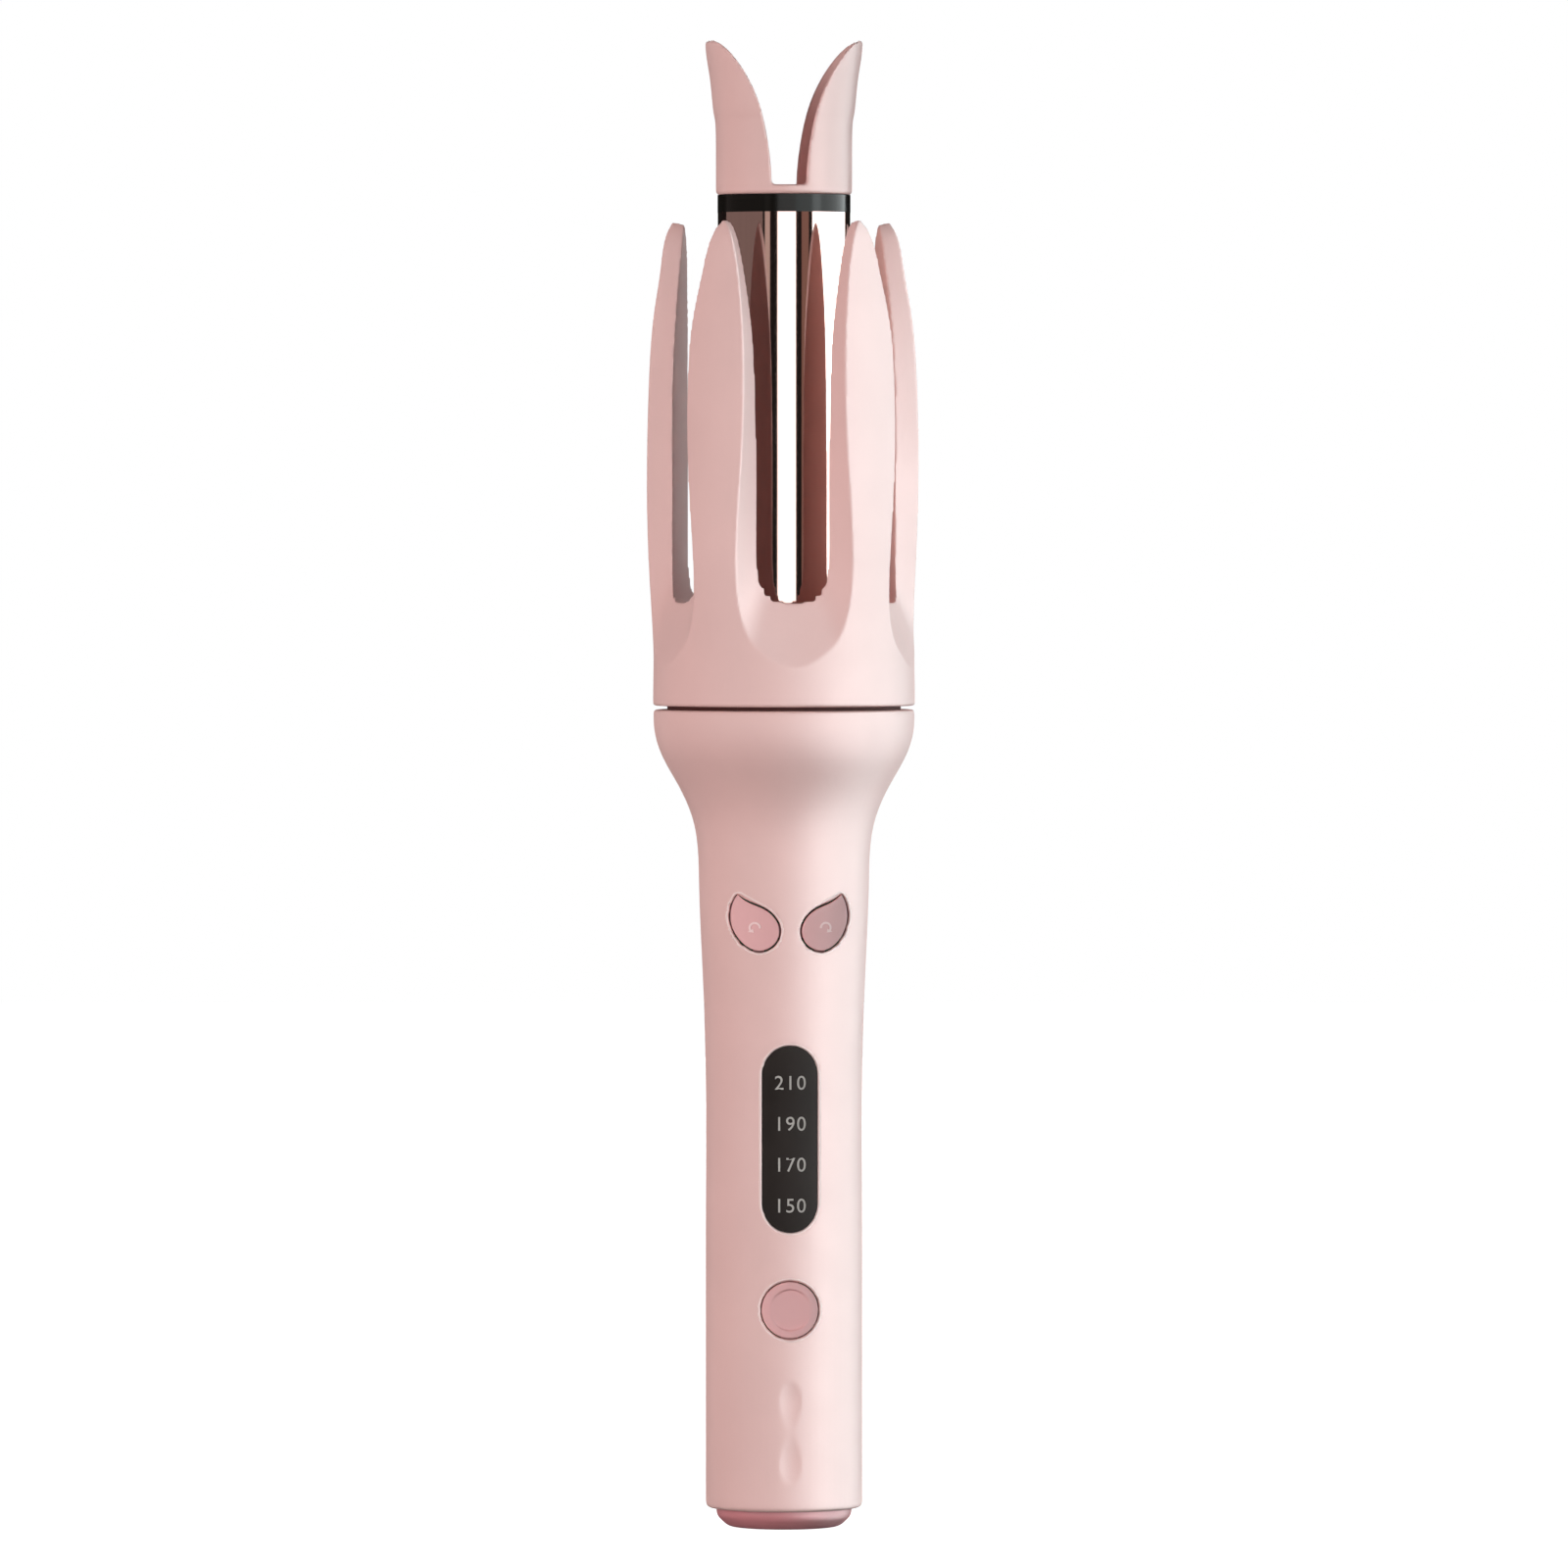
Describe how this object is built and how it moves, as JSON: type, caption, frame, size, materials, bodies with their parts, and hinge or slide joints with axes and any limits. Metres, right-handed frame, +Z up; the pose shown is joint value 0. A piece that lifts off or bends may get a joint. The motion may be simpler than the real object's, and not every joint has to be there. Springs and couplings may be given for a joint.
{
  "type": "automatic hair curler",
  "caption": "Cordless automatic curling iron: round grip with keys and display, rotating petal crown around a heated barrel, and two guide ears at the tip.",
  "frame": {"origin": "centre of the flat bottom of the end cap, on the handle and barrel axis", "axes": "+Z up the barrel towards the ears, -Y towards the keys and display, ears at +X and -X"},
  "size_m": [0.0578, 0.0567, 0.3144],
  "materials": {
    "body_shell": "fine matt soft-touch pink",
    "crown_shell": "fine matt pink",
    "ear_shell": "satin pink",
    "cap_shell": "satin darker pink",
    "button_pink": "glossy rose",
    "window_black": "smoked black lens",
    "band_black": "heat resistant black",
    "barrel_metal": "polished rose coating",
    "chassis_plastic": "glass filled nylon",
    "frame_plastic": "natural ABS",
    "pcb": "solder mask",
    "switch_black": "moulded",
    "led_white": "diffuse lens",
    "steel": "zinc plated",
    "nickel": "nickel strip",
    "brass_gear": "machined",
    "gear_nylon": "acetal",
    "bush_ptfe": "low friction",
    "cell_wrap": "heat shrink wrap",
    "spreader_aluminium": "extruded",
    "heater_ceramic": "ceramic heater",
    "wire_silicone": "silicone insulation",
    "plug_rubber": "soft pink rubber"
  },
  "bodies": {
    "handle": {"handle_front_shell": "body_shell", "handle_rear_shell": "body_shell", "shell_screws": "steel", "screw_plugs": "plug_rubber", "end_cap": "cap_shell", "usb_port": "steel", "charge_board": "pcb", "inner_frame": "frame_plastic", "frame_screws": "steel", "battery_cell_lower": "cell_wrap", "battery_cell_upper": "cell_wrap", "battery_strips": "nickel", "main_board": "pcb", "board_screws": "steel", "tact_switches": "switch_black", "display_frame": "switch_black", "display_leds": "led_white", "display_window": "window_black", "head_chassis": "chassis_plastic", "drive_motor": "steel", "motor_gearbox": "brass_gear", "motor_screws": "steel", "thrust_washer": "bush_ptfe", "barrel_base": "band_black", "barrel_screws": "steel", "barrel_tube": "barrel_metal", "heater_spreader_front": "spreader_aluminium", "heater_spreader_rear": "spreader_aluminium", "heater_plate": "heater_ceramic", "thermistor": "heater_ceramic", "thermal_fuse": "steel", "tip_insulator": "band_black", "ear_cap": "ear_shell", "heater_leads": "wire_silicone", "motor_leads": "wire_silicone", "charge_leads": "wire_silicone"},
    "crown": {"petal_crown": "crown_shell", "ring_gear": "gear_nylon", "ring_gear_screws": "steel", "crown_bush": "bush_ptfe"},
    "pinion": {"drive_pinion": "gear_nylon", "motor_shaft": "steel"},
    "reverse_key": {"reverse_button": "button_pink", "reverse_plunger": "switch_black"},
    "forward_key": {"forward_button": "button_pink", "forward_plunger": "switch_black"},
    "power_key": {"power_button": "button_pink", "power_plunger": "switch_black"}
  },
  "joints": [
    {"name": "crown_spin", "type": "hinge", "parent": "handle", "child": "crown", "pos_m": [0, 0, 0.189], "axis": [0, 0, 1], "continuous": true},
    {"name": "pinion_spin", "type": "hinge", "parent": "handle", "child": "pinion", "pos_m": [0.016, 0, 0.185], "axis": [0, 0, 1], "continuous": true},
    {"name": "reverse_press", "type": "slide", "parent": "handle", "child": "reverse_key", "axis": [0, 1, 0], "range_m": [0, 0.0005], "stiffness_N_per_m": 600, "springref_m": -0.001},
    {"name": "forward_press", "type": "slide", "parent": "handle", "child": "forward_key", "axis": [0, 1, 0], "range_m": [0, 0.0005], "stiffness_N_per_m": 600, "springref_m": -0.001},
    {"name": "power_press", "type": "slide", "parent": "handle", "child": "power_key", "axis": [0, 1, 0], "range_m": [0, 0.0005], "stiffness_N_per_m": 600, "springref_m": -0.001}
  ],
  "couplings": [
    {"joint": "pinion_spin", "follows": "crown_spin", "ratio": 4.3333}
  ]
}
